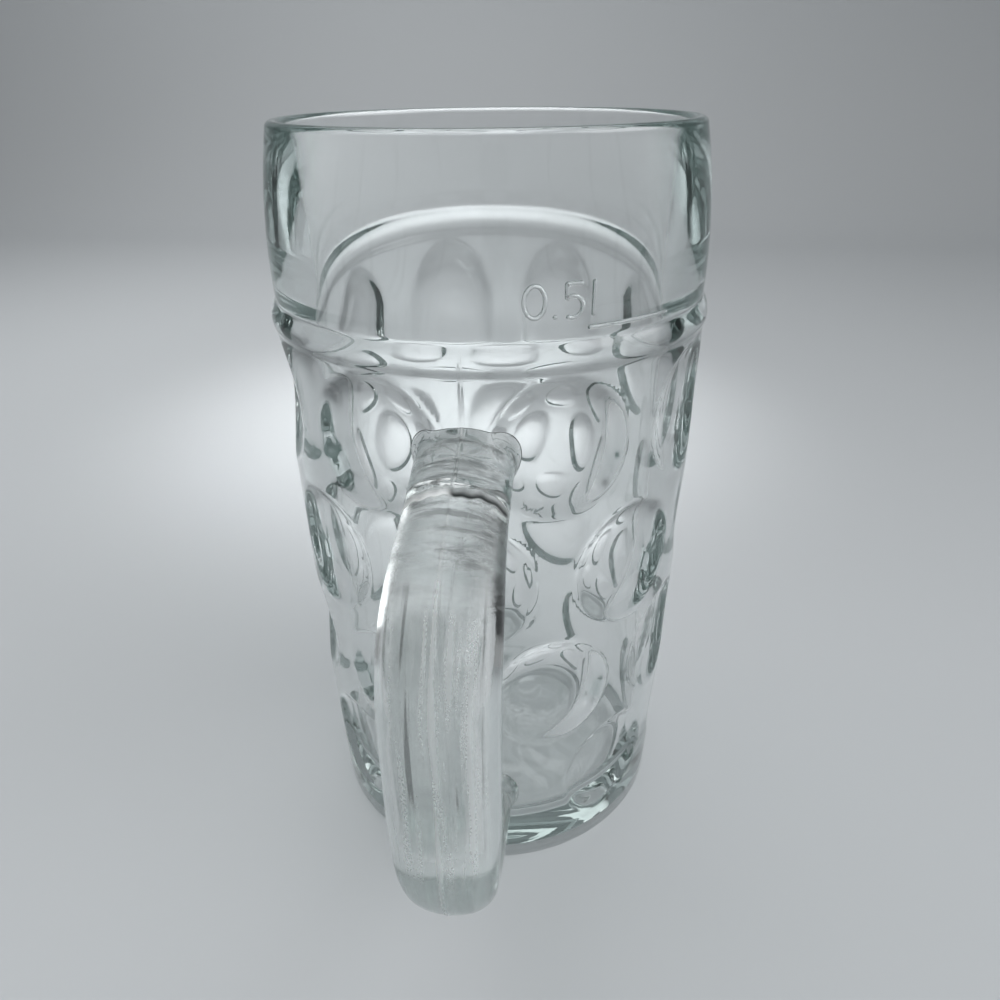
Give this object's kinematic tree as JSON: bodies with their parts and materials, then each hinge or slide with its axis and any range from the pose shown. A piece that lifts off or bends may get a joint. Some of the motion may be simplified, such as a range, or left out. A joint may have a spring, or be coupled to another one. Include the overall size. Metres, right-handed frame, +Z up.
{
  "type": "dimpled beer mug",
  "caption": "Tall pressed-glass beer mug with staggered rings of dimples, a plain drinking band above a shoulder ring, a raised fill line and an upright bar handle.",
  "frame": {"origin": "middle of the foot, in the plane that the mug stands on, on the axis of the body", "axes": "+Z up along the axis of the body, +X towards the handle"},
  "size_m": [0.1297, 0.0904, 0.161],
  "materials": {
    "glass": "fire-polished clear soda-lime glass with a faint grey-green tint"
  },
  "bodies": {
    "root": {"mug_body": "glass", "handle": "glass", "fill_line": "glass", "capacity_figures": "glass"}
  },
  "joints": []
}
